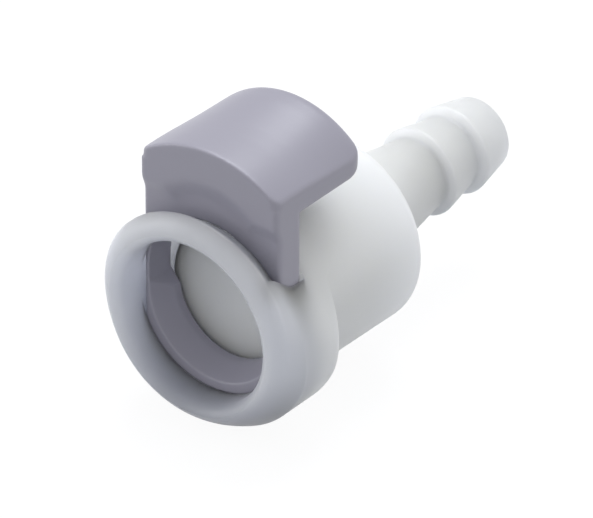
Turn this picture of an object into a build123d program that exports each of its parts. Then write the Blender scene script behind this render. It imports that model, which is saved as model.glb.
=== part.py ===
"""Quick disconnect coupling body for flexible tubing: moulded housing, thumb latch and latch spring.

Frame: the origin is the centre of the mouth, +Y runs along the bore to the hose barb,
+Z is up through the thumb latch. All sizes are in millimetres.
"""

from build123d import *
from math import radians, sqrt, tan
import os

# --- socket that takes the mating insert -------------------------------------------------
socket_radius = 6.6         # bore of the mouth
socket_depth = 3.2          # wall of the mouth, from its front to the latch
mouth_rounding = 1.1        # lead-in round at the front of the bore
seal_radius = 5.3           # bore behind the latch, where the insert's ring seals
seal_length = 7.4           # length of that bore behind the latch slot
seal_lead = 0.45            # lead-in at the front of the seal bore
passage_radius = 2.2        # flow passage through the hose barb
seat_depth = 2.6            # length of the cone between seal bore and passage

# --- housing outside ----------------------------------------------------------------------
collar_radius = 9.3         # collar round the mouth
rim_flat_radius = 7.3       # end of the flat front of the rim, where its dome starts
rim_dome_depth = 1.6        # how far the dome falls back to the collar's outside
collar_length = 7.6         # front of the rim to the back of the collar
collar_back_round = 1.2
collar_root_round = 0.4     # inside round between collar and barrel
barrel_radius = 7.6         # barrel where it leaves the collar
barrel_draft = 0.8          # degrees that the barrel opens towards its shoulder
barrel_end = 18.6           # shoulder of the barrel
shoulder_round = 0.9

# --- hose barb for tubing of 1/4 inch (6.4 mm) bore ----------------------------------------
barb_count = 2              # cones after the long first one
barb_pitch = 4.0            # from one barb edge to the next
barb_crest_radius = 3.65
barb_root_radius = 2.95     # smallest radius before the next crest
barb_step_run = 0.4         # length of the face that faces the mouth
first_cone_radius = 4.35    # long cone where it leaves the shoulder
first_cone_length = 8.8     # shoulder to the root before the first crest
barb_crest_round = 0.28
barb_root_round = 0.35
barb_shoulder_round = 0.5
tip_round = 0.5

# --- thumb latch ---------------------------------------------------------------------------
latch_half_width = 6.35
latch_thickness = 3.1       # plate that crosses the bore
latch_travel = 1.7          # from locked to released
latch_side_wall = 0.5       # plate left beside the opening that the insert passes
lock_radius = 5.0           # edge that drops into the insert's groove
lock_land = 1.0             # length of that edge at the back of the plate
lock_shoulder = 0.3         # height where the straight sides of the opening end
lip_wall = 0.8              # plate left below the opening at its front
leg_front_round = 0.7
leg_back_round = 0.45
lip_overhang = 0.75         # pad's front lip ahead of the plate
lip_height = 2.2            # lip's front face, from its crown to the crease
pad_crown = 13.9            # height of the pad's saddle
pad_axis_height = 4.8       # axis that the pad's arch is turned about
pad_dip_y = 7.2             # where the saddle starts to rise
pad_rear = 13.0             # back of the pad
pad_rear_crown = 15.1       # height the saddle would reach there without its round
pad_underside = 9.7
pad_rear_round = 1.6
pad_rear_under_round = 1.7
pad_corner_round = 1.0      # upright corners at the back, seen from above
pad_edge_round = 0.35       # upper edges of the pad
hollow_wall = 1.5           # wall round the hollow under the pad
hollow_height = 1.9
ear_height = 0.35           # snap ears that hold the latch in its slot
ear_length = 1.2
ear_width = 1.6
ear_top = 0.9               # catching face of the ears at rest

# --- fits ----------------------------------------------------------------------------------
slot_clearance = 0.1        # latch to slot, each side
floor_clearance = 0.1       # latch to the floor of its slot when pressed
pad_clearance = 0.2         # pad to the cut in the back of the collar, each side
ear_clearance = 0.05        # ears to their catch
spring_clearance = 0.2      # coil to its seats, each side

# --- notch in the collar that bares the latch ----------------------------------------------
notch_front = 1.45          # back of the thin rim above the mouth
notch_floor = 3.5
notch_front_round = 2.1
notch_back_round = 0.7

# --- latch spring --------------------------------------------------------------------------
spring_wire = 0.45
spring_radius = 1.75        # coil centre line
spring_turns = 4.5
spring_seat_depth = 1.1     # blind seat in the top of the barrel
spring_cup_wall = 0.8       # round cup under the pad, for the top of the spring
spring_cup_depth = 1.6

# --- what follows from them ----------------------------------------------------------------
aperture_half_width = latch_half_width - latch_side_wall
latch_front = socket_depth + slot_clearance
latch_back = latch_front + latch_thickness
slot_back = latch_back + slot_clearance
slot_length = slot_back - socket_depth
slot_half_width = latch_half_width + slot_clearance
latch_bottom = -(aperture_half_width + lip_wall)
latch_bottom_radius = latch_travel - latch_bottom
slot_bottom_radius = latch_bottom_radius + floor_clearance
latch_middle = (latch_front + latch_back) / 2
slot_top = pad_rear_crown
relief_radius = barrel_radius + collar_root_round / 2
seal_end = slot_back + seal_length
barrel_end_radius = barrel_radius + (barrel_end - collar_length) * tan(radians(barrel_draft))
first_root = barrel_end + first_cone_length
tip_end = first_root + barb_count * barb_pitch
spring_outer = spring_radius + spring_wire / 2
spring_hole = spring_outer + spring_clearance
spring_y = (latch_back + pad_rear) / 2
spring_bottom = barrel_radius - spring_seat_depth
spring_top = pad_underside + spring_cup_depth
pad_front = latch_front - lip_overhang


def across(y):
    """Plane square to the bore at y: local x is X, local y is Z, its back faces the barb."""
    return Plane.XZ.offset(-y)


# --- housing: one moulding -----------------------------------------------------------------
with BuildPart() as housing:
    # half section, with the radius along X and the bore along Y
    with BuildSketch(Plane.XY) as body_section:
        with BuildLine():
            rim = Line((0, 0), (rim_flat_radius, 0))
            dome = EllipticalCenterArc(
                (rim_flat_radius, rim_dome_depth),
                collar_radius - rim_flat_radius,
                rim_dome_depth,
                start_angle=270,
                arc_size=90,
            )
            collar = Line(dome @ 1, (collar_radius, collar_length))
            back = Line(collar @ 1, (barrel_radius, collar_length))
            barrel = Line(back @ 1, (barrel_end_radius, barrel_end))
            shoulder = Line(barrel @ 1, (first_cone_radius, barrel_end))
            cone = Line(shoulder @ 1, (barb_root_radius, first_root))
            for barb in range(barb_count):
                crest_y = first_root + barb * barb_pitch + barb_step_run
                step = Line(cone @ 1, (barb_crest_radius, crest_y))
                cone = Line(step @ 1, (barb_root_radius, first_root + (barb + 1) * barb_pitch))
            tip = Line(cone @ 1, (0, tip_end))
            Line(tip @ 1, (0, 0))
        make_face()
        rounds = [
            ((collar_radius, collar_length), collar_back_round),
            ((barrel_radius, collar_length), collar_root_round),
            ((barrel_end_radius, barrel_end), shoulder_round),
            ((first_cone_radius, barrel_end), barb_shoulder_round),
            ((barb_root_radius, tip_end), tip_round),
        ]
        for barb in range(barb_count):
            root_y = first_root + barb * barb_pitch
            rounds.append(((barb_root_radius, root_y), barb_root_round))
            rounds.append(((barb_crest_radius, root_y + barb_step_run), barb_crest_round))
        for (radius, y), size in rounds:
            corner = body_section.vertices().sort_by_distance((radius, y))[0]
            fillet(corner, size)
    revolve(axis=Axis.Y)

    # side notch that bares the latch, then the sleeve of the mouth inside it
    with BuildSketch(Plane.YZ) as notch_side:
        with Locations(((notch_front + slot_back) / 2, (notch_floor + slot_top) / 2)):
            Rectangle(slot_back - notch_front, slot_top - notch_floor)
        floor_corners = notch_side.vertices().group_by(Axis.Y)[0].sort_by(Axis.X)
        fillet(floor_corners[0], notch_front_round)
        fillet(notch_side.vertices().sort_by_distance((slot_back, notch_floor))[0], notch_back_round)
    extrude(amount=collar_radius, both=True, mode=Mode.SUBTRACT)
    with BuildSketch(across(notch_front)):
        Circle(barrel_radius)
    extrude(amount=-(socket_depth - notch_front))

    # room for the pad above the barrel when the latch is pressed
    with BuildSketch(across(slot_back)):
        with Locations((0, slot_top / 2)):
            Rectangle(2 * (latch_half_width + pad_clearance), slot_top)
        Circle(relief_radius, mode=Mode.SUBTRACT)
    extrude(amount=-(collar_length + collar_root_round - slot_back), mode=Mode.SUBTRACT)

    # slot for the latch, round at its bottom, with recesses for the snap ears
    with BuildSketch(across(socket_depth)):
        Circle(slot_bottom_radius)
        with Locations((0, -slot_bottom_radius / 2)):
            Rectangle(2 * slot_half_width, slot_bottom_radius, mode=Mode.INTERSECT)
        with Locations((0, slot_top / 2)):
            Rectangle(2 * slot_half_width, slot_top)
    extrude(amount=-slot_length, mode=Mode.SUBTRACT)
    recess_top = ear_top + ear_clearance
    recess_height = recess_top - (ear_top - ear_length - latch_travel - ear_clearance)
    with BuildSketch(across(latch_middle - ear_width / 2 - slot_clearance)):
        with Locations((0, recess_top - recess_height / 2)):
            Rectangle(2 * (slot_half_width + ear_height), recess_height)
    extrude(amount=-(ear_width + 2 * slot_clearance), mode=Mode.SUBTRACT)

    # bore: mouth, seal bore with its lead-in, seat cone and flow passage
    with BuildSketch(across(0)):
        Circle(socket_radius)
    extrude(amount=-socket_depth, mode=Mode.SUBTRACT)
    with BuildSketch(Plane.XY):
        with BuildLine():
            Polyline(
                (0, slot_back),
                (seal_radius + seal_lead, slot_back),
                (seal_radius, slot_back + seal_lead),
                (seal_radius, seal_end),
                (passage_radius, seal_end + seat_depth),
                (passage_radius, tip_end),
                (0, tip_end),
                close=True,
            )
        make_face()
    revolve(axis=Axis.Y, mode=Mode.SUBTRACT)
    mouth_edge = housing.edges().filter_by(GeomType.CIRCLE).sort_by_distance((0, 0, -socket_radius))[0]
    fillet(mouth_edge, mouth_rounding)

    # blind seat for the latch spring in the top of the barrel
    with BuildSketch(Plane.XY.offset(spring_bottom)):
        with Locations((0, spring_y)):
            Circle(spring_hole)
    extrude(amount=pad_underside - spring_bottom, mode=Mode.SUBTRACT)

# --- thumb latch: one moulding --------------------------------------------------------------
with BuildPart() as thumb_latch:
    # saddle shaped pad: its side profile turned about an axis along the bore, left deep at first
    with BuildSketch(Plane.YZ) as pad_side:
        with BuildLine():
            saddle_front = Line((pad_front, pad_crown), (pad_dip_y, pad_crown))
            saddle_rise = TangentArc(saddle_front @ 1, (pad_rear, pad_rear_crown), tangent=saddle_front % 1)
            Polyline(saddle_rise @ 1, (pad_rear, pad_axis_height), (pad_front, pad_axis_height), saddle_front @ 0)
        make_face()
        fillet(pad_side.vertices().sort_by_distance((pad_rear, pad_rear_crown))[0], pad_rear_round)
        fillet(pad_side.vertices().sort_by_distance((pad_front, pad_crown))[0], pad_edge_round)
    revolve(axis=Axis((0, 0, pad_axis_height), (0, 1, 0)))
    with BuildSketch(Plane.XY.offset(pad_axis_height)) as pad_plan:
        with Locations((0, (pad_front + pad_rear) / 2)):
            Rectangle(2 * latch_half_width, pad_rear - pad_front)
        fillet(pad_plan.vertices().group_by(Axis.Y)[-1], pad_corner_round)
    extrude(amount=2 * pad_rear_crown, mode=Mode.INTERSECT)

    # underside, with the round at its back
    with BuildSketch(Plane.YZ):
        with BuildLine():
            Polyline(
                (pad_rear, pad_underside + pad_rear_under_round),
                (pad_rear + pad_rear_under_round, pad_underside + pad_rear_under_round),
                (pad_rear + pad_rear_under_round, 0),
                (0, 0),
                (0, pad_underside),
                (pad_rear - pad_rear_under_round, pad_underside),
            )
            RadiusArc(
                (pad_rear - pad_rear_under_round, pad_underside),
                (pad_rear, pad_underside + pad_rear_under_round),
                -pad_rear_under_round,
            )
        make_face()
    extrude(amount=2 * latch_half_width, both=True, mode=Mode.SUBTRACT)

    # undercut of the front lip, with its crease in an arch below the crown
    with BuildSketch(across(pad_front)):
        with Locations((0, pad_axis_height - lip_height)):
            Circle(pad_crown - pad_axis_height)
    extrude(amount=-lip_overhang, mode=Mode.SUBTRACT)

    # plate with rounded upright edges and a round foot
    with BuildSketch(Plane.XY.offset(latch_bottom)) as plate_plan:
        with Locations((0, latch_middle)):
            Rectangle(2 * latch_half_width, latch_thickness)
        fillet(plate_plan.vertices().group_by(Axis.Y)[0], leg_front_round)
        fillet(plate_plan.vertices().group_by(Axis.Y)[-1], leg_back_round)
    extrude(amount=pad_underside - latch_bottom)
    with BuildSketch(across(latch_front)):
        with Locations((0, latch_bottom / 2)):
            Rectangle(3 * latch_half_width, -latch_bottom)
        with Locations((0, latch_travel)):
            Circle(latch_bottom_radius, mode=Mode.SUBTRACT)
    extrude(amount=-latch_thickness, mode=Mode.SUBTRACT)

    # opening for the insert: straight sides above, lock edge below, lead-in cone in front
    with BuildSketch(across(latch_front)):
        Circle(lock_radius)
        with BuildLine():
            neck = sqrt(lock_radius**2 - lock_shoulder**2)
            Polyline(
                (-neck, -lock_shoulder),
                (neck, -lock_shoulder),
                (aperture_half_width, lock_shoulder),
                (aperture_half_width, latch_travel),
                (-aperture_half_width, latch_travel),
                (-aperture_half_width, lock_shoulder),
                close=True,
            )
        make_face()
        with Locations((0, latch_travel)):
            Circle(aperture_half_width)
    extrude(amount=-latch_thickness, mode=Mode.SUBTRACT)
    with BuildSketch(Plane.XY):
        with BuildLine():
            Polyline(
                (0, latch_front),
                (aperture_half_width, latch_front),
                (lock_radius, latch_back - lock_land),
                (0, latch_back - lock_land),
                close=True,
            )
        make_face()
    revolve(axis=Axis.Y, mode=Mode.SUBTRACT)

    # snap ears on the outside of the legs
    with BuildSketch(across(latch_middle - ear_width / 2)):
        with BuildLine():
            Polyline(
                (latch_half_width - ear_height, ear_top),
                (latch_half_width + ear_height, ear_top),
                (latch_half_width + ear_height, ear_top - ear_height),
                (latch_half_width, ear_top - ear_length),
                (latch_half_width - ear_height, ear_top - ear_length),
                close=True,
            )
        make_face()
        mirror(about=Plane.YZ)
    extrude(amount=-ear_width)

    # hollow under the pad, with the cup that holds the spring
    hollow_front = latch_back + hollow_wall / 2
    hollow_back = pad_rear - hollow_wall
    with BuildSketch(Plane.XY.offset(pad_underside)):
        with Locations((0, (hollow_front + hollow_back) / 2)):
            RectangleRounded(
                2 * (latch_half_width - hollow_wall), hollow_back - hollow_front, hollow_wall / 2
            )
        with Locations((0, spring_y)):
            Circle(spring_hole + spring_cup_wall, mode=Mode.SUBTRACT)
    extrude(amount=hollow_height, mode=Mode.SUBTRACT)
    with BuildSketch(Plane.XY.offset(pad_underside)):
        with Locations((0, spring_y)):
            Circle(spring_hole)
    extrude(amount=spring_cup_depth, mode=Mode.SUBTRACT)

# --- latch spring: wire coil with both ends ground flat --------------------------------------
spring_length = spring_top - spring_bottom
with BuildPart() as latch_spring:
    with BuildLine(Plane.XY.offset(spring_bottom)) as coil_line:
        Helix(
            pitch=spring_length / spring_turns,
            height=spring_length,
            radius=spring_radius,
            center=(0, spring_y, 0),
        )
    with BuildSketch(Plane(coil_line.line @ 0, z_dir=coil_line.line % 0)):
        Circle(spring_wire / 2)
    sweep(is_frenet=True)
    with BuildSketch(Plane.XY.offset(spring_bottom)):
        with Locations((0, spring_y)):
            Circle(spring_outer + spring_wire)
    extrude(amount=spring_length, mode=Mode.INTERSECT)

# --- labels and files ----------------------------------------------------------------------
housing.part.label = "housing"
thumb_latch.part.label = "thumb_latch"
latch_spring.part.label = "latch_spring"

os.makedirs("parts", exist_ok=True)
export_step(housing.part, "parts/housing.step")
export_step(thumb_latch.part, "parts/thumb_latch.step")
export_step(latch_spring.part, "parts/latch_spring.step")
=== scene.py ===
"""Looks of a quick disconnect coupling body: moulded housing, thumb latch and latch spring."""

import math

import bmesh
import bpy
from mathutils import Matrix, Vector


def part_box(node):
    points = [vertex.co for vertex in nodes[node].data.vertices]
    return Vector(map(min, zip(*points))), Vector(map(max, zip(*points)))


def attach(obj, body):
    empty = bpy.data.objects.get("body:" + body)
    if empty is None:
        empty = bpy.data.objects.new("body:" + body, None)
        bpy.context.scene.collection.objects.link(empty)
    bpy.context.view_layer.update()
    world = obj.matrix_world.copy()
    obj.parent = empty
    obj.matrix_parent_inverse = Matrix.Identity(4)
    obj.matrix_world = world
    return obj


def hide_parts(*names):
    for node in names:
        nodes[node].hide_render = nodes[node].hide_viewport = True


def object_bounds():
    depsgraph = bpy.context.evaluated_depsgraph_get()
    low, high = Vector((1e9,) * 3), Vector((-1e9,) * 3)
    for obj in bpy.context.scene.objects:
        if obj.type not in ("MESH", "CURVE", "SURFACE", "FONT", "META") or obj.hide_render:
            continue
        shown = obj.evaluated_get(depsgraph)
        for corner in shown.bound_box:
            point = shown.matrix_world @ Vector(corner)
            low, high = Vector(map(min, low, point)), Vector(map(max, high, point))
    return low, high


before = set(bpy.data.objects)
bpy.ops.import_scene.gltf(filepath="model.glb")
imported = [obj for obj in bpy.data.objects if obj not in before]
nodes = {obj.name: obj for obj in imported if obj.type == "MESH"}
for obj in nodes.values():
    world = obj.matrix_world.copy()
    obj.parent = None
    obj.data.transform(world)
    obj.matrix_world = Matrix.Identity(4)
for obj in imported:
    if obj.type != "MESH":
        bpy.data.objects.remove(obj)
cad_low, cad_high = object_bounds()
MM = 0.001
GLOW_SHARE = 0.75  # part of the floor's look that is plain white
GLOW_STRENGTH = 1.24


# --- colours and node helper ----------------------------------------------------------------
def linear(hex_colour):
    """A linear RGBA colour from an sRGB hex value."""
    channels = [int(hex_colour[i : i + 2], 16) / 255 for i in (1, 3, 5)]
    rgb = [c / 12.92 if c <= 0.04045 else ((c + 0.055) / 1.055) ** 2.4 for c in channels]
    return (*rgb, 1.0)


def add(tree, kind, settings=None, links=None):
    """Adds a node, sets its properties or input values, and links its inputs."""
    node = tree.nodes.new(kind)
    for name, value in (settings or {}).items():
        if name in node.inputs:
            node.inputs[name].default_value = value
        else:
            setattr(node, name, value)
    for name, socket in (links or {}).items():
        tree.links.new(socket, node.inputs[name])
    return node


def new_material(name):
    """An empty node material."""
    material = bpy.data.materials.new(name)
    material.use_nodes = True
    material.node_tree.nodes.clear()
    return material, material.node_tree


# --- materials --------------------------------------------------------------------------------
def natural_polypropylene():
    """Natural polypropylene, injection moulded: waxy, lets light in deep, soft broad gloss."""
    material, tree = new_material("natural_polypropylene")
    place = add(tree, "ShaderNodeTexCoord").outputs["Object"]
    # faint waviness of a thick moulding as it shrinks, about 6 mm from sink to sink
    sink = add(tree, "ShaderNodeTexNoise", {"Scale": 1 / (6 * MM), "Detail": 1.0}, {"Vector": place})
    # fine spark-eroded tool texture, about 0.25 mm from pit to pit
    pits = add(tree, "ShaderNodeTexNoise", {"Scale": 1 / (0.25 * MM), "Detail": 2.0}, {"Vector": place})
    waves = add(
        tree,
        "ShaderNodeBump",
        {"Strength": 0.12, "Distance": 0.2 * MM},
        {"Height": sink.outputs["Fac"]},
    )
    grain = add(
        tree,
        "ShaderNodeBump",
        {"Strength": 0.05, "Distance": 0.03 * MM},
        {"Height": pits.outputs["Fac"], "Normal": waves.outputs["Normal"]},
    )
    # painted shade: the housing's front, as far back as the latch slot, is mixed toward a grey, most
    # towards the bottom; it paints the light lost in the thin walls round the slot, where the grey
    # latch and its foot show softly through, and the shade on the rim's underside
    split = add(tree, "ShaderNodeSeparateXYZ", links={"Vector": place})
    slot_shade_mask = add(
        tree,
        "ShaderNodeMapRange",
        {
            "interpolation_type": "SMOOTHSTEP",
            "From Min": 3 * MM,
            "From Max": 6.5 * MM,
            "To Min": 1.0,
            "To Max": 0.0,
        },
        {"Value": split.outputs["Y"]},
    )
    # painted shade: full at the bottom, and a little over half of it from the middle of the bore
    # upwards
    low_shade_mask = add(
        tree,
        "ShaderNodeMapRange",
        {
            "interpolation_type": "SMOOTHSTEP",
            "From Min": -8 * MM,
            "From Max": -1 * MM,
            "To Min": 1.0,
            "To Max": 0.6,
        },
        {"Value": split.outputs["Z"]},
    )
    # painted shade: how far each point is mixed toward the grey
    painted_shade = add(tree, "ShaderNodeMath", {"operation": "MULTIPLY"})
    tree.links.new(slot_shade_mask.outputs["Result"], painted_shade.inputs[0])
    tree.links.new(low_shade_mask.outputs["Result"], painted_shade.inputs[1])
    # the mix node's colour sockets share their names with others, so they go by number
    shade_mix = add(tree, "ShaderNodeMix", {"data_type": "RGBA"})
    tree.links.new(painted_shade.outputs[0], shade_mix.inputs[0])
    # the first colour is the housing's own pale colour; the second is the grey of the painted shade
    shade_mix.inputs[6].default_value = linear("#f1f4f8")
    shade_mix.inputs[7].default_value = linear("#9a9ca5")
    shader = add(
        tree,
        "ShaderNodeBsdfPrincipled",
        {
            "Roughness": 0.38,
            "IOR": 1.49,
            "Subsurface Weight": 0.95,
            "Subsurface Radius": (1.0, 1.0, 1.08),
            "Subsurface Scale": 8 * MM,
            "Subsurface Anisotropy": 0.3,
        },
        {"Base Color": shade_mix.outputs[2], "Normal": grain.outputs["Normal"]},
    )
    add(tree, "ShaderNodeOutputMaterial", links={"Surface": shader.outputs["BSDF"]})
    return material


def satin_acetal():
    """Grey acetal, injection moulded in a satin tool: even colour, broad soft sheen."""
    material, tree = new_material("satin_grey_acetal")
    place = add(tree, "ShaderNodeTexCoord").outputs["Object"]
    # spark-eroded tool texture, about 0.2 mm from pit to pit
    pits = add(tree, "ShaderNodeTexNoise", {"Scale": 1 / (0.2 * MM), "Detail": 2.0}, {"Vector": place})
    grain = add(
        tree,
        "ShaderNodeBump",
        {"Strength": 0.12, "Distance": 0.03 * MM},
        {"Height": pits.outputs["Fac"]},
    )
    shader = add(
        tree,
        "ShaderNodeBsdfPrincipled",
        {
            "Base Color": linear("#9b99a5"),
            "Roughness": 0.36,
            "IOR": 1.48,
        },
        {"Normal": grain.outputs["Normal"]},
    )
    add(tree, "ShaderNodeOutputMaterial", links={"Surface": shader.outputs["BSDF"]})
    return material


def spring_wire():
    """Drawn stainless wire: bright metal with a slight haze."""
    material, tree = new_material("drawn_stainless_wire")
    shader = add(
        tree,
        "ShaderNodeBsdfPrincipled",
        {"Base Color": linear("#c4c3c1"), "Metallic": 1.0, "Roughness": 0.25},
    )
    add(tree, "ShaderNodeOutputMaterial", links={"Surface": shader.outputs["BSDF"]})
    return material


def white_sweep():
    """Matt white paper: seen as white, with a soft shadow, and it throws little light back up."""
    material, tree = new_material("white_paper_sweep")
    path = add(tree, "ShaderNodeLightPath")
    seen = add(tree, "ShaderNodeMath", {"operation": "MAXIMUM"})
    tree.links.new(path.outputs["Is Camera Ray"], seen.inputs[0])
    tree.links.new(path.outputs["Is Glossy Ray"], seen.inputs[1])
    through = add(tree, "ShaderNodeMath", {"operation": "MAXIMUM"})
    tree.links.new(seen.outputs[0], through.inputs[0])
    tree.links.new(path.outputs["Is Transmission Ray"], through.inputs[1])
    share = add(tree, "ShaderNodeMath", {"operation": "MULTIPLY"})
    tree.links.new(through.outputs[0], share.inputs[0])
    share.inputs[1].default_value = GLOW_SHARE
    paper = add(tree, "ShaderNodeBsdfDiffuse", {"Color": linear("#a4a6aa")})
    glow = add(tree, "ShaderNodeEmission", {"Color": (1, 1, 1, 1), "Strength": GLOW_STRENGTH})
    mix = add(tree, "ShaderNodeMixShader", links={"Fac": share.outputs[0]})
    tree.links.new(paper.outputs[0], mix.inputs[1])
    tree.links.new(glow.outputs[0], mix.inputs[2])
    add(tree, "ShaderNodeOutputMaterial", links={"Surface": mix.outputs[0]})
    return material


def dress(node_name, material):
    """Gives a CAD node its material."""
    mesh = nodes[node_name].data
    mesh.materials.clear()
    mesh.materials.append(material)


polypropylene = natural_polypropylene()
acetal = satin_acetal()
dress("housing", polypropylene)
dress("thumb_latch", acetal)
dress("latch_spring", spring_wire())


# --- solids from rings, in millimetres ----------------------------------------------------------
TURN_STEPS = 192
TURN = [2 * math.pi * step / TURN_STEPS for step in range(TURN_STEPS)]


def new_object(name, data):
    """An object for a mesh, a lamp or a camera, in the scene."""
    piece = bpy.data.objects.new(name, data)
    bpy.context.scene.collection.objects.link(piece)
    return piece


def ring_solid(name, rings):
    """A closed solid through rings of points, each given in millimetres."""
    count = len(rings[0])
    points = [tuple(value * MM for value in point) for ring in rings for point in ring]
    faces = [tuple(range(count)), tuple(range((len(rings) - 1) * count, len(rings) * count))]
    for ring in range(len(rings) - 1):
        for step in range(count):
            first = ring * count + step
            second = ring * count + (step + 1) % count
            faces.append((first, second, second + count, first + count))
    mesh = bpy.data.meshes.new(name)
    mesh.from_pydata(points, [], faces)
    work = bmesh.new()
    work.from_mesh(mesh)
    bmesh.ops.recalc_face_normals(work, faces=work.faces)
    work.to_mesh(mesh)
    work.free()
    return new_object(name, mesh)


def turned(name, profile, centre_z=0.0):
    """A solid turned about the bore from pairs of radius and distance along it."""
    rings = [
        [(radius * math.cos(angle), y, centre_z + radius * math.sin(angle)) for angle in TURN]
        for radius, y in profile
    ]
    return ring_solid(name, rings)


def block(name, low, high):
    """A box between two corners."""
    rings = [
        [(low[0], y, low[2]), (high[0], y, low[2]), (high[0], y, high[2]), (low[0], y, high[2])]
        for y in (low[1], high[1])
    ]
    return ring_solid(name, rings)


def plan_solid(name, outline, low, high):
    """A solid that stands on a plan outline between two heights."""
    return ring_solid(name, [[(x, y, z) for x, y in outline] for z in (low, high)])


def section_solid(name, outline, front, back):
    """A solid that runs along the bore with one outline of x and z."""
    return ring_solid(name, [[(x, y, z) for x, z in outline] for y in (front, back)])


def round_plan(radius, centre_y):
    """A circle seen from above, centred over the bore."""
    return [(radius * math.cos(angle), centre_y + radius * math.sin(angle)) for angle in TURN[::4]]


def arc(radius, centre_z, degrees):
    """Points of x and z on an arc about a line along the bore."""
    points = []
    for turn in degrees:
        angle = math.radians(turn)
        points.append((radius * math.cos(angle), centre_z + radius * math.sin(angle)))
    return points


def combine(piece, tool, operation):
    """Joins, cuts or keeps what two solids share, and removes the tool."""
    step = piece.modifiers.new(operation.lower(), "BOOLEAN")
    step.operation = operation
    step.solver = "EXACT"
    step.object = tool
    apply_modifiers(piece)
    bpy.data.meshes.remove(tool.data)


def apply_modifiers(piece):
    """Puts the result of a piece's modifiers into its mesh."""
    shape = piece.evaluated_get(bpy.context.evaluated_depsgraph_get())
    mesh = bpy.data.meshes.new_from_object(shape)
    piece.modifiers.clear()
    old = piece.data
    piece.data = mesh
    bpy.data.meshes.remove(old)


def soften(piece, voxel, rounds):
    """Rebuilds a piece on a fine grid and relaxes it, which puts a small round on every edge."""
    grid = piece.modifiers.new("grid", "REMESH")
    grid.mode = "VOXEL"
    grid.voxel_size = voxel * MM
    relax = piece.modifiers.new("relax", "SMOOTH")
    relax.factor = 0.5
    relax.iterations = rounds
    apply_modifiers(piece)


def smooth(piece, crease_degrees):
    """Smooth shading, with an edge kept where faces meet at more than the crease angle."""
    piece.data.polygons.foreach_set("use_smooth", [True] * len(piece.data.polygons))
    piece.data.set_sharp_from_angle(angle=math.radians(crease_degrees))


ROUND_STEPS = 8


def rounded(corners):
    """An outline of (first, second, round) corners, each corner with a round made an arc."""
    line = []
    for index, (radius, y, size) in enumerate(corners):
        if size == 0:
            line.append((radius, y))
            continue
        here = Vector((radius, y))
        before = (Vector(corners[index - 1][:2]) - here).normalized()
        after = (Vector(corners[index + 1][:2]) - here).normalized()
        bend = before.angle(after)
        start = here + before * size / math.tan(bend / 2)
        end = here + after * size / math.tan(bend / 2)
        centre = here + (before + after).normalized() * size / math.sin(bend / 2)
        for step in range(ROUND_STEPS + 1):
            outwards = start.lerp(end, step / ROUND_STEPS) - centre
            point = centre + outwards.normalized() * size
            line.append((point.x, point.y))
    return line


# --- housing: one polypropylene moulding -----------------------------------------------------------
RIM_RADIUS = 8.95
RIM_FLAT = 6.9  # radius where the dome of the rim starts
RIM_DOME = 2.1  # length of that dome along the bore
RIM_DOME_END = 1.2  # beside the latch the rim leaves its dome here
BLEND_END = 4.6  # and has come down to the barrel here
BARREL_RADIUS = 7.6
CHIN_RADIUS = 9.25
CHIN_DOME = 2.9
CHIN_END = 7.8
CHIN_ROUND = 1.35
CHIN_TOP = math.radians(58)  # angle from the top where the chin starts to swell
CHIN_FULL = math.radians(118)  # and where it is full
SIDE_STEP = 0.1
SIDE_STEPS = 53
BACK_PROFILE_START = 8.3
SHOULDER_RADIUS = 7.75
SHOULDER_END = 18.6
SHOULDER_ROUND = 0.9
CONE_RADIUS = 4.35
CONE_ROUND = 0.5
BARB_CREST = 3.65
BARB_ROOT = 2.95
BARB_CREST_ROUND = 0.28
BARB_ROOT_ROUND = 0.35
BARB_ROOTS = (27.4, 31.4)
BARB_STEP = 0.4  # from a barb's root to its crest
TIP_ROUND = 0.5
TIP_END = cad_high.y / MM
INSIDE_RADIUS = 0.5  # closes the end of the solid inside the passage
SLOT_HALF = 6.45
SLOT_FRONT = 2.85
SLOT_BACK = 5.7
SLOT_FLOOR = 8.45
SLOT_CORNER = -5.46  # height where the slot's floor meets its sides
SLOT_TOP = 12
NOTCH_FRONT = 1.35
NOTCH_OVERRUN = 0.05  # keeps the notch's back off the slot's front
SOCKET_RADIUS = 6.6
MOUTH_ROUND = 1.1
SEAL_RADIUS = 5.3
SEAL_LEAD = 0.45
SEAL_LEAD_LENGTH = 0.6
SEAL_END = 13.9
PASSAGE_RADIUS = 2.2
PASSAGE_START = 16.5
SPRING_HOLE = 2.175
SPRING_SEAT_FLOOR = 6.5
spring_low, spring_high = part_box("latch_spring")
spring_middle = (spring_low.y + spring_high.y) / 2 / MM


def ease(value):
    """A smooth step from 0 to 1."""
    value = min(max(value, 0), 1)
    return value * value * (3 - 2 * value)


def dome_radius(y):
    """The rim's domed front."""
    if y >= RIM_DOME:
        return RIM_RADIUS
    return RIM_FLAT + (RIM_RADIUS - RIM_FLAT) * math.sqrt(1 - (1 - y / RIM_DOME) ** 2)


def side_radius(y):
    """Beside the latch the rim falls away in a soft curve to the barrel."""
    if y <= RIM_DOME_END:
        return dome_radius(y)
    fall = ease((y - RIM_DOME_END) / (BLEND_END - RIM_DOME_END))
    return dome_radius(RIM_DOME_END) * (1 - fall) + BARREL_RADIUS * fall


def chin_radius(y):
    """Below the bore the rim runs on as a chin that houses the foot of the latch."""
    if y <= CHIN_DOME:
        part = y / CHIN_DOME
        # halfway between a dome and a straight chamfer
        full = (math.sqrt(1 - (1 - part) ** 2) + part) / 2
        return RIM_FLAT + (CHIN_RADIUS - RIM_FLAT) * full
    if y <= CHIN_END - CHIN_ROUND:
        return CHIN_RADIUS
    if y >= CHIN_END:
        return BARREL_RADIUS
    rest = 1 - ((y - CHIN_END + CHIN_ROUND) / CHIN_ROUND) ** 2
    return BARREL_RADIUS + (CHIN_RADIUS - BARREL_RADIUS) * math.sqrt(rest)


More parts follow.
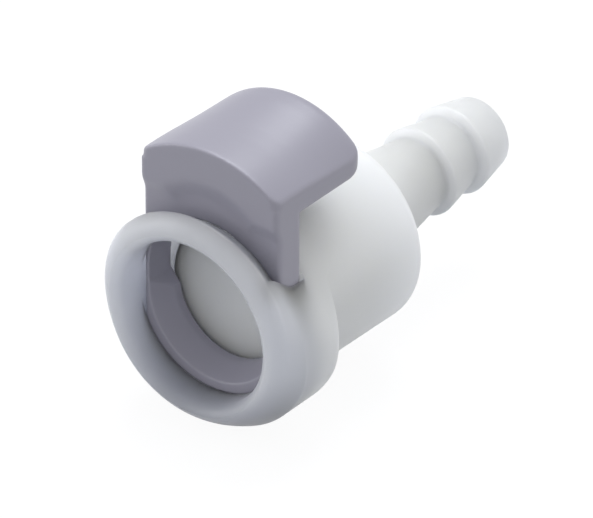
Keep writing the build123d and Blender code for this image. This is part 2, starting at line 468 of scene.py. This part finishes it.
def body_ring(y):
    """One ring of the housing's outside between the rim and the back of the chin."""
    ring = []
    for angle in TURN:
        from_top = abs(math.remainder(angle - math.pi / 2, 2 * math.pi))
        chin = ease((from_top - CHIN_TOP) / (CHIN_FULL - CHIN_TOP))
        radius = chin_radius(y) * chin + side_radius(y) * (1 - chin)
        ring.append((radius * math.cos(angle), y, radius * math.sin(angle)))
    return ring


dome_steps = [RIM_DOME * (1 - math.cos(math.radians(turn))) for turn in range(6, 61, 6)]
side_steps = [RIM_DOME_END + SIDE_STEP * step for step in range(SIDE_STEPS)]
chin_steps = [
    CHIN_END - CHIN_ROUND + CHIN_ROUND * math.sin(math.radians(turn)) for turn in range(5, 91, 5)
]
rings = [body_ring(y) for y in [0.0, *dome_steps, *side_steps, *chin_steps]]
barbs = []
for root in BARB_ROOTS:
    barbs.append((BARB_ROOT, root, BARB_ROOT_ROUND))
    barbs.append((BARB_CREST, root + BARB_STEP, BARB_CREST_ROUND))
back_profile = rounded(
    [
        (BARREL_RADIUS, BACK_PROFILE_START, 0),
        (SHOULDER_RADIUS, SHOULDER_END, SHOULDER_ROUND),
        (CONE_RADIUS, SHOULDER_END, CONE_ROUND),
        *barbs,
        (BARB_ROOT, TIP_END, TIP_ROUND),
        (INSIDE_RADIUS, TIP_END, 0),
    ]
)
for radius, y in back_profile:
    rings.append([(radius * math.cos(angle), y, radius * math.sin(angle)) for angle in TURN])
housing_look = ring_solid("housing_moulding", rings)

mouth_arc = [
    (
        SOCKET_RADIUS + MOUTH_ROUND - MOUTH_ROUND * math.sin(math.radians(turn)),
        MOUTH_ROUND - MOUTH_ROUND * math.cos(math.radians(turn)),
    )
    for turn in range(0, 91, 9)
]
bore = turned(
    "bore",
    [
        (SOCKET_RADIUS + MOUTH_ROUND, -1),
        *mouth_arc,
        (SOCKET_RADIUS, SLOT_FRONT + 0.1),
        (SEAL_RADIUS + SEAL_LEAD, SLOT_BACK - 0.1),
        (SEAL_RADIUS, SLOT_BACK + SEAL_LEAD_LENGTH),
        (SEAL_RADIUS, SEAL_END),
        (PASSAGE_RADIUS, PASSAGE_START),
        (PASSAGE_RADIUS, TIP_END + 1),
    ],
)
combine(housing_look, bore, "DIFFERENCE")

slot_floor = [point for point in arc(SLOT_FLOOR, 0, range(-130, -49, 4)) if abs(point[0]) < SLOT_HALF]
slot_section = [
    (-SLOT_HALF, SLOT_TOP),
    (-SLOT_HALF, SLOT_CORNER),
    *slot_floor,
    (SLOT_HALF, SLOT_CORNER),
    (SLOT_HALF, SLOT_TOP),
]
combine(housing_look, section_solid("slot", slot_section, SLOT_FRONT, SLOT_BACK), "DIFFERENCE")
notch_back = SLOT_FRONT + NOTCH_OVERRUN
notch = block("notch", (-SLOT_HALF, NOTCH_FRONT, 0), (SLOT_HALF, notch_back, SLOT_TOP))
sleeve = turned("sleeve", [(BARREL_RADIUS, 0), (BARREL_RADIUS, SLOT_FRONT)])
combine(notch, sleeve, "DIFFERENCE")
combine(housing_look, notch, "DIFFERENCE")
spring_plan = round_plan(SPRING_HOLE, spring_middle)
combine(housing_look, plan_solid("spring_seat", spring_plan, SPRING_SEAT_FLOOR, 9), "DIFFERENCE")
smooth(housing_look, 35)
housing_look.data.materials.clear()
housing_look.data.materials.append(polypropylene)
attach(housing_look, "coupling_body")
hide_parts("housing")

# --- thumb latch: one acetal moulding ------------------------------------------------------------
LATCH_HALF = 6.35
LATCH_FRONT = 2.95
LATCH_BACK = 5.6
LATCH_FOOT = 8.35  # radius of the foot, about a line at FOOT_CENTRE
FOOT_CENTRE = 1.7
FOOT_HALF = 7
FOOT_STEPS = 24
PLATE_FRONT_ROUND = 0.4
PLATE_BACK_ROUND = 0.5
PLATE_LOW = -9
PLATE_HIGH = 11
CUT_FRONT = 2  # the plate's cuts run from here to CUT_BACK
CUT_BACK = 8
PAD_AXIS = 4.8
PAD_ARCH = 9.0
PAD_STEPS = 32
PAD_LOW = 8
PAD_FRONT = 2.58
PAD_REAR = 13.0
PAD_REAR_ROUND = 0.9
# distance along the bore, height of the crown and height at the sides
PAD_STATIONS = (
    (2.0, 13.75, 11.6),
    (3.0, 13.75, 11.6),
    (4.6, 13.75, 11.6),
    (6.0, 13.75, 11.55),
    (7.4, 13.8, 11.45),
    (8.8, 13.9, 11.35),
    (10.0, 14.0, 11.3),
    (11.0, 14.1, 11.25),
    (12.1, 14.15, 11.2),
)
PAD_UNDERSIDE = 9.7
PAD_UNDER_ROUND = 1.8
PAD_CORNER = 1.4
PAD_FRONT_CORNER = 0.7
PAD_GRID = 0.13
PAD_RELAX = 12
LIP_HEIGHT = 2.5
LIP_DEPTH = 0.37
LIP_FALL = 2.0
LIP_STEPS = 10
SWELL_START = 8.1
SWELL_END = 9.6
SWELL_STEPS = 8
OPENING_HALF = 5.85
LOCK_RADIUS = 5.0
LOCK_SHOULDER = 0.3
LOCK_LAND = 0.8
HOLLOW_HALF = 4.85
HOLLOW_FRONT = 6.9
HOLLOW_BACK = 11.5
HOLLOW_ROUND = 0.8
HOLLOW_TOP = 11.6
CUP_RADIUS = 2.9
CUP_TOP = 11.3
LATCH_GRID = 0.11
LATCH_RELAX = 4


def pad_section(y, crown, side):
    """The pad cut across at one y: an arch from side to side on straight flanks."""
    half = LATCH_HALF + 1
    rise = crown - side
    radius = (LATCH_HALF**2 + rise**2) / (2 * rise)
    section = [(-half, y, PAD_LOW), (half, y, PAD_LOW)]
    for step in range(PAD_STEPS + 1):
        x = half - 2 * half * step / PAD_STEPS
        section.append((x, y, crown - radius + math.sqrt(radius**2 - x**2)))
    return section


def plate_section(z):
    """The plate cut across at one height: its front swells softly into the pad's lip."""
    front = LATCH_FRONT - LIP_DEPTH * ease((z - SWELL_START) / (SWELL_END - SWELL_START))
    outline = rounded(
        [
            (-LATCH_HALF, 4.5, 0),
            (-LATCH_HALF, LATCH_BACK, PLATE_BACK_ROUND),
            (LATCH_HALF, LATCH_BACK, PLATE_BACK_ROUND),
            (LATCH_HALF, front, PLATE_FRONT_ROUND),
            (-LATCH_HALF, front, PLATE_FRONT_ROUND),
            (-LATCH_HALF, 4.4, 0),
        ]
    )
    return [(x, y, z) for x, y in outline]


pad_rings = [pad_section(*station) for station in PAD_STATIONS]
last_y, last_crown, last_side = PAD_STATIONS[-1]
for turn in range(15, 91, 15):
    angle = math.radians(turn)
    drop = PAD_REAR_ROUND * (1 - math.cos(angle))
    y = last_y + (PAD_REAR - last_y) * math.sin(angle)
    pad_rings.append(pad_section(y, last_crown - drop, last_side - drop))
thumb_look = ring_solid("thumb_latch_moulding", pad_rings)
pad_outline = rounded(
    [
        (-LATCH_HALF, 8.1, 0),
        (-LATCH_HALF, PAD_REAR, PAD_CORNER),
        (LATCH_HALF, PAD_REAR, PAD_CORNER),
        (LATCH_HALF, PAD_FRONT, PAD_FRONT_CORNER),
        (-LATCH_HALF, PAD_FRONT, PAD_FRONT_CORNER),
        (-LATCH_HALF, 8.0, 0),
    ]
)
combine(thumb_look, plan_solid("pad_plan", pad_outline, 6, 20), "INTERSECT")
flank = rounded(
    [
        (0, 20, 0),
        (0, PAD_UNDERSIDE, 0),
        (PAD_REAR, PAD_UNDERSIDE, PAD_UNDER_ROUND),
        (PAD_REAR, 20, 0),
    ]
)
underside = ring_solid("underside", [[(x, y, z) for y, z in flank] for x in (-9, 9)])
combine(thumb_look, underside, "INTERSECT")
soften(thumb_look, PAD_GRID, PAD_RELAX)

plate_heights = [PLATE_LOW, SWELL_START]
for step in range(1, SWELL_STEPS + 1):
    plate_heights.append(SWELL_START + (SWELL_END - SWELL_START) * step / SWELL_STEPS)
plate_heights.append(PLATE_HIGH)
plate = ring_solid("plate", [plate_section(z) for z in plate_heights])
foot_section = [(FOOT_HALF, 14), (-FOOT_HALF, 14)]
for step in range(FOOT_STEPS + 1):
    x = -FOOT_HALF + 2 * FOOT_HALF * step / FOOT_STEPS
    foot_section.append((x, FOOT_CENTRE - math.sqrt(LATCH_FOOT**2 - x**2)))
combine(plate, section_solid("foot", foot_section, CUT_FRONT, CUT_BACK), "INTERSECT")
opening_section = [
    (-OPENING_HALF, FOOT_CENTRE),
    *arc(OPENING_HALF, FOOT_CENTRE, range(172, 7, -6)),
    (OPENING_HALF, FOOT_CENTRE),
    (OPENING_HALF, LOCK_SHOULDER),
    *arc(LOCK_RADIUS, 0, range(-4, -177, -6)),
    (-OPENING_HALF, LOCK_SHOULDER),
]
combine(plate, section_solid("opening", opening_section, CUT_FRONT, CUT_BACK), "DIFFERENCE")
lead_in = [
    (OPENING_HALF, LATCH_FRONT - 1),
    (OPENING_HALF, LATCH_FRONT),
    (LOCK_RADIUS, LATCH_BACK - LOCK_LAND),
]
combine(plate, turned("lead_in", lead_in), "DIFFERENCE")
combine(thumb_look, plate, "UNION")

# the lip's face runs back softly below its crest
lip_low = PAD_ARCH - LIP_HEIGHT
visor = [(lip_low, -1)]
for step in range(LIP_STEPS + 1):
    depth = LIP_DEPTH * ease(step / LIP_STEPS)
    visor.append((lip_low - LIP_FALL * step / LIP_STEPS, PAD_FRONT + depth))
combine(thumb_look, turned("visor", visor, PAD_AXIS), "DIFFERENCE")

hollow_outline = rounded(
    [
        (-HOLLOW_HALF, 8.0, 0),
        (-HOLLOW_HALF, HOLLOW_BACK, HOLLOW_ROUND),
        (HOLLOW_HALF, HOLLOW_BACK, HOLLOW_ROUND),
        (HOLLOW_HALF, HOLLOW_FRONT, HOLLOW_ROUND),
        (-HOLLOW_HALF, HOLLOW_FRONT, HOLLOW_ROUND),
        (-HOLLOW_HALF, 7.9, 0),
    ]
)
hollow = plan_solid("hollow", hollow_outline, 9, HOLLOW_TOP)
combine(hollow, plan_solid("cup", round_plan(CUP_RADIUS, spring_middle), 8, 12), "DIFFERENCE")
combine(thumb_look, hollow, "DIFFERENCE")
combine(thumb_look, plan_solid("seat", spring_plan, 8, CUP_TOP), "DIFFERENCE")
soften(thumb_look, LATCH_GRID, LATCH_RELAX)
smooth(thumb_look, 60)
thumb_look.data.materials.clear()
thumb_look.data.materials.append(acetal)
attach(thumb_look, "latch")
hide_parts("thumb_latch")

# --- floor ------------------------------------------------------------------------------------
FLOOR_SIZE = 1.2
floor_mesh = bpy.data.meshes.new("floor")
half = FLOOR_SIZE / 2
floor_z = cad_low.z
floor_mesh.from_pydata(
    [(-half, -half, floor_z), (half, -half, floor_z), (half, half, floor_z), (-half, half, floor_z)],
    [],
    [(0, 1, 2, 3)],
)
floor = new_object("floor", floor_mesh)
floor_mesh.materials.append(white_sweep())

# --- world: white studio ------------------------------------------------------------------------
ROOM_LIGHT = 0.6
world = bpy.data.worlds.new("white_studio")
bpy.context.scene.world = world
world.use_nodes = True
sky = world.node_tree
sky.nodes.clear()
path = add(sky, "ShaderNodeLightPath")
ambient = add(sky, "ShaderNodeBackground", {"Color": (1, 1, 1, 1), "Strength": ROOM_LIGHT})
backdrop = add(sky, "ShaderNodeBackground", {"Color": (1, 1, 1, 1), "Strength": 1.0})
seen = add(sky, "ShaderNodeMath", {"operation": "MAXIMUM"})
sky.links.new(path.outputs["Is Camera Ray"], seen.inputs[0])
sky.links.new(path.outputs["Is Transmission Ray"], seen.inputs[1])
mix = add(sky, "ShaderNodeMixShader", links={"Fac": seen.outputs[0]})
sky.links.new(ambient.outputs[0], mix.inputs[1])
sky.links.new(backdrop.outputs[0], mix.inputs[2])
add(sky, "ShaderNodeOutputWorld", links={"Surface": mix.outputs[0]})

# --- camera -------------------------------------------------------------------------------------
CAMERA_AZIMUTH = math.radians(38.2)
CAMERA_ELEVATION = math.radians(32.3)
CAMERA_ROLL = math.radians(0.3)
CAMERA_DISTANCE = 0.519
CAMERA_LENS = 425
AIM_RIGHT = -2.93 * MM
AIM_UP = -4.53 * MM
middle = (cad_low + cad_high) / 2
back = Vector(
    (
        math.sin(CAMERA_AZIMUTH) * math.cos(CAMERA_ELEVATION),
        -math.cos(CAMERA_AZIMUTH) * math.cos(CAMERA_ELEVATION),
        math.sin(CAMERA_ELEVATION),
    )
)
right = Vector((math.cos(CAMERA_AZIMUTH), math.sin(CAMERA_AZIMUTH), 0))
up = back.cross(right)
camera_data = bpy.data.cameras.new("camera")
camera_data.lens = CAMERA_LENS
camera_data.clip_start = 0.01
camera_data.clip_end = 5
camera = new_object("camera", camera_data)
aim = middle + right * AIM_RIGHT + up * AIM_UP
turn = Matrix((right, up, back)).transposed() @ Matrix.Rotation(CAMERA_ROLL, 3, "Z")
camera.matrix_world = Matrix.Translation(aim + back * CAMERA_DISTANCE) @ turn.to_4x4()
bpy.context.scene.camera = camera


# --- lamps ----------------------------------------------------------------------------------------
SOFTBOX_DISTANCE = 0.4
SOFTBOX_SIDE = 0.25


def softbox(name, direction, watts, tint):
    """A square area lamp that looks at the middle of the coupling."""
    lamp = bpy.data.lights.new(name, "AREA")
    lamp.shape = "SQUARE"
    lamp.size = SOFTBOX_SIDE
    lamp.energy = watts
    lamp.color = linear(tint)[:3]
    holder = new_object(name, lamp)
    towards = Vector(direction).normalized()
    holder.location = middle + towards * SOFTBOX_DISTANCE
    holder.rotation_euler = towards.to_track_quat("Z", "Y").to_euler()


softbox("softbox_above", (-0.25, 0.35, 1.0), 1.1, "#f7faff")
softbox("softbox_right", (1.0, 0.45, 0.05), 0.3, "#fbfcff")
softbox("softbox_left", (-1.0, -0.6, 0.3), 0.42, "#fbfcff")
softbox("softbox_front", (0.25, -1.0, 0.3), 0.12, "#fbfcff")

bpy.context.scene.view_settings.view_transform = "Standard"
